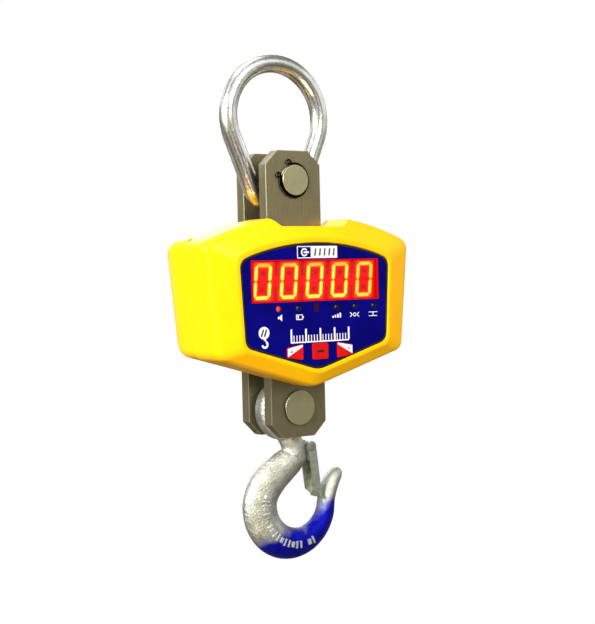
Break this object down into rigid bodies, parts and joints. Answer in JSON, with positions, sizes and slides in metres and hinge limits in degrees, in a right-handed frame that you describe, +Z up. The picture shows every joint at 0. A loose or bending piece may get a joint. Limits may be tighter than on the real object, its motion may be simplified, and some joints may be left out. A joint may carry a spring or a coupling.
{
  "type": "crane scale",
  "caption": "Hanging crane scale: steel ring and clevis plates on a load cell, crowned case with lit red digit display and keys, and a swinging eye hook with a safety latch.",
  "frame": {"origin": "bearing point inside the crown of the suspension ring, where the crane hook carries it", "axes": "+Z up along the load line; the display faces -Y; +X is to the right of someone reading it"},
  "size_m": [0.2086, 0.093, 0.4413],
  "materials": {
    "ring_zinc": "bright zinc plate, smooth",
    "hook_zinc": "zinc-plated forging, slightly grainy, blue-tinted bowl",
    "plate_steel": "ground steel, brushed lengthways",
    "pin_steel": "turned satin steel",
    "clip_black": "black phosphate",
    "cell_alloy": "machined",
    "bolt_steel": "zinc-plated",
    "case_yellow": "satin powder coat over cast aluminium",
    "black_rubber": "matt",
    "panel_blue": "printed film, satin",
    "red_lens": "tinted clear acrylic",
    "digit_body": "dark red face",
    "digit_bar": "lit light pipe",
    "board_green": "solder mask",
    "brass_pillar": "turned",
    "led_red": "clear tinted dome",
    "key_red": "silicone key under printed film",
    "black_plastic": "moulded",
    "battery_case": "moulded",
    "lead_red": "insulated wire",
    "switch_red": "moulded",
    "latch_zinc": "zinc-plated pressing",
    "spring_steel": "drawn wire"
  },
  "bodies": {
    "ring": {"suspension_ring": "ring_zinc"},
    "scale": {"upper_pin": "pin_steel", "upper_circlip": "clip_black", "upper_front_plate": "plate_steel", "upper_rear_plate": "plate_steel", "lower_front_plate": "plate_steel", "lower_rear_plate": "plate_steel", "lower_pin": "pin_steel", "lower_circlip": "clip_black", "load_cell": "cell_alloy", "gauge_covers": "bolt_steel", "cell_bolts": "bolt_steel", "cell_cable": "black_rubber", "front_casing": "case_yellow", "rear_casing": "case_yellow", "casing_gasket": "black_rubber", "casing_screws": "bolt_steel", "upper_seal": "black_rubber", "lower_seal": "black_rubber", "casing_brackets": "bolt_steel", "bracket_screws": "bolt_steel", "front_panel": "panel_blue", "display_window": "red_lens", "digit_modules": "digit_body", "digit_segments": "digit_bar", "display_board": "board_green", "board_standoffs": "brass_pillar", "main_board": "board_green", "indicator_leds": "led_red", "ir_receiver": "black_plastic", "buzzer": "black_plastic", "tact_switches": "black_plastic", "battery": "battery_case", "battery_lead": "lead_red", "battery_cover": "case_yellow", "battery_cover_screws": "bolt_steel", "charge_socket": "black_plastic", "switch_frame": "black_plastic"},
    "left_key": {"left_key": "key_red"},
    "centre_key": {"centre_key": "key_red"},
    "right_key": {"right_key": "key_red"},
    "cap": {"socket_cap": "black_rubber"},
    "rocker": {"power_rocker": "switch_red"},
    "hook": {"hook": "hook_zinc", "latch_pin": "bolt_steel"},
    "latch": {"latch_spring": "spring_steel", "safety_latch": "latch_zinc"}
  },
  "joints": [
    {"name": "ring_swing", "type": "hinge", "parent": "ring", "child": "scale", "pos_m": [0, -0.004, -0.0954], "axis": [0, 1, 0], "range_deg": [-60, 60]},
    {"name": "hook_swing", "type": "hinge", "parent": "scale", "child": "hook", "pos_m": [0, -0.004, -0.2904], "axis": [0, 1, 0], "range_deg": [-60, 60]},
    {"name": "latch_open", "type": "hinge", "parent": "hook", "child": "latch", "pos_m": [0.0233, -0.004, -0.3278], "axis": [0, 1, 0], "range_deg": [0, 22], "stiffness_Nm_per_rad": 0.05, "springref_deg": -34.38},
    {"name": "left_key_press", "type": "slide", "parent": "scale", "child": "left_key", "axis": [0, 1, 0], "range_m": [0, 0.001], "stiffness_N_per_m": 800, "springref_m": -0.0005},
    {"name": "centre_key_press", "type": "slide", "parent": "scale", "child": "centre_key", "axis": [0, 1, 0], "range_m": [0, 0.001], "stiffness_N_per_m": 800, "springref_m": -0.0005},
    {"name": "right_key_press", "type": "slide", "parent": "scale", "child": "right_key", "axis": [0, 1, 0], "range_m": [0, 0.001], "stiffness_N_per_m": 800, "springref_m": -0.0005},
    {"name": "rocker_tilt", "type": "hinge", "parent": "scale", "child": "rocker", "pos_m": [0.058, 0.0265, -0.1789], "axis": [-1, 0, 0], "range_deg": [0, 20]},
    {"name": "cap_open", "type": "hinge", "parent": "scale", "child": "cap", "pos_m": [0.058, 0.0308, -0.1989], "axis": [1, 0, 0], "range_deg": [0, 140]}
  ]
}
